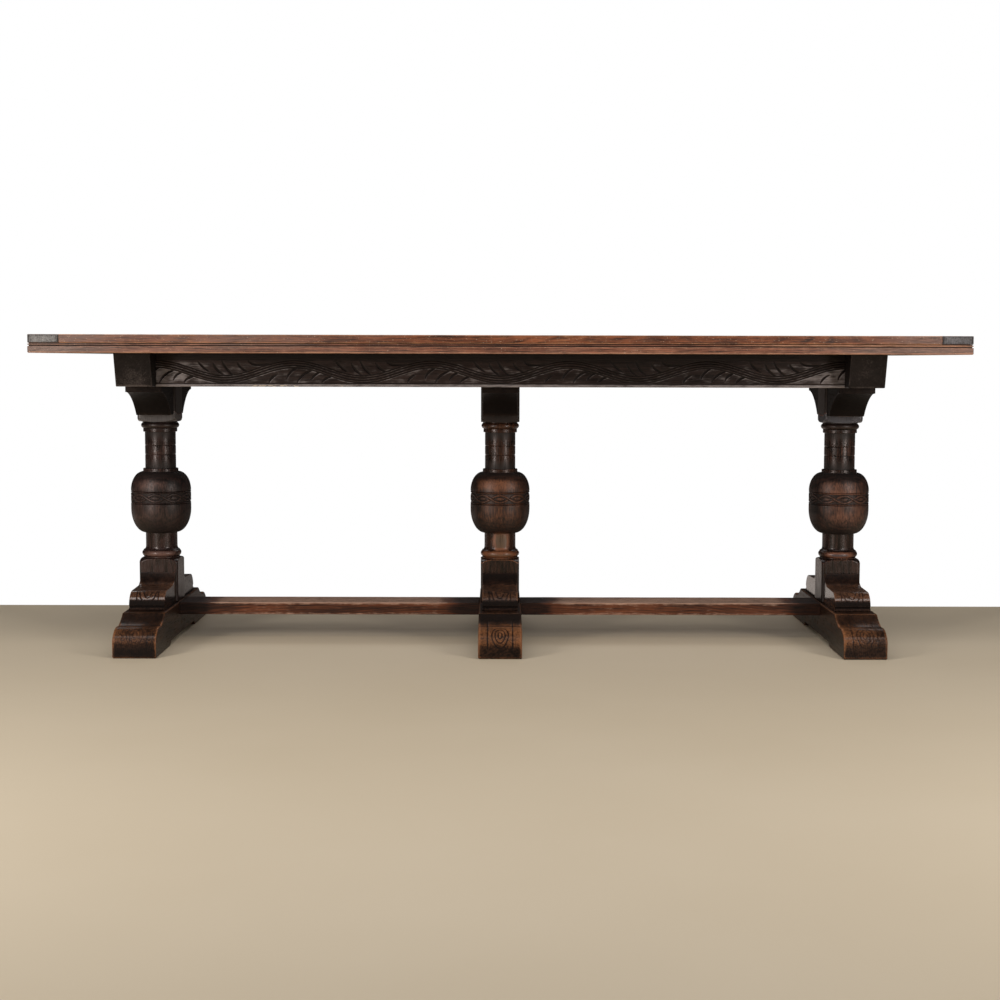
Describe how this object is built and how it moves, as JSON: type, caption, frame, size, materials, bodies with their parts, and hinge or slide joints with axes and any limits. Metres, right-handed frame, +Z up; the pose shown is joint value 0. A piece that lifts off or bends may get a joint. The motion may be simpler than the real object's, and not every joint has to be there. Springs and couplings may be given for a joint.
{
  "type": "refectory table",
  "caption": "Long oak trestle table on turned cup-and-cover columns with sledge feet, corbels, a low stretcher, carved frieze rails and a planked top with cleated ends.",
  "frame": {"origin": "on the floor under the middle of the table", "axes": "+X along the table, -Y towards the front, +Z up"},
  "size_m": [2.18, 0.79, 0.762],
  "materials": {
    "top_oak": "waxed, worn reddish brown",
    "cleat_oak": "waxed, grey-brown end grain",
    "frame_oak": "dark stained, satin wax",
    "column_oak": "dark stained and waxed, worn warmer on the bulbs",
    "foot_oak": "dark stained, worn on the arrises",
    "stretcher_oak": "red-brown, worn bare on top",
    "peg_oak": "dark stained end grain",
    "inner_oak": "unstained, dusty",
    "steel": "dull"
  },
  "bodies": {
    "root": {"top_board_1": "top_oak", "top_board_2": "top_oak", "top_board_3": "top_oak", "top_board_4": "top_oak", "end_cleat_left": "cleat_oak", "stretcher_left": "stretcher_oak", "end_cleat_right": "cleat_oak", "stretcher_right": "stretcher_oak", "edge_moulding_front": "top_oak", "edge_moulding_back": "top_oak", "edge_moulding_left": "top_oak", "edge_moulding_right": "top_oak", "frieze_rail_front": "frame_oak", "frieze_rail_back": "frame_oak", "bearer_left": "frame_oak", "column_left": "column_oak", "foot_left": "foot_oak", "upper_corbel_left_front": "frame_oak", "lower_corbel_left_front": "foot_oak", "upper_corbel_left_back": "frame_oak", "lower_corbel_left_back": "foot_oak", "bearer_middle": "frame_oak", "column_middle": "column_oak", "foot_middle": "foot_oak", "upper_corbel_middle_front": "frame_oak", "lower_corbel_middle_front": "foot_oak", "upper_corbel_middle_back": "frame_oak", "lower_corbel_middle_back": "foot_oak", "bearer_right": "frame_oak", "column_right": "column_oak", "foot_right": "foot_oak", "upper_corbel_right_front": "frame_oak", "lower_corbel_right_front": "foot_oak", "upper_corbel_right_back": "frame_oak", "lower_corbel_right_back": "foot_oak", "cleat_pegs": "peg_oak", "column_pegs": "peg_oak", "stretcher_pegs": "peg_oak", "corbel_dowels": "inner_oak", "glue_blocks": "inner_oak", "top_buttons": "inner_oak", "button_screws": "steel"}
  },
  "joints": []
}
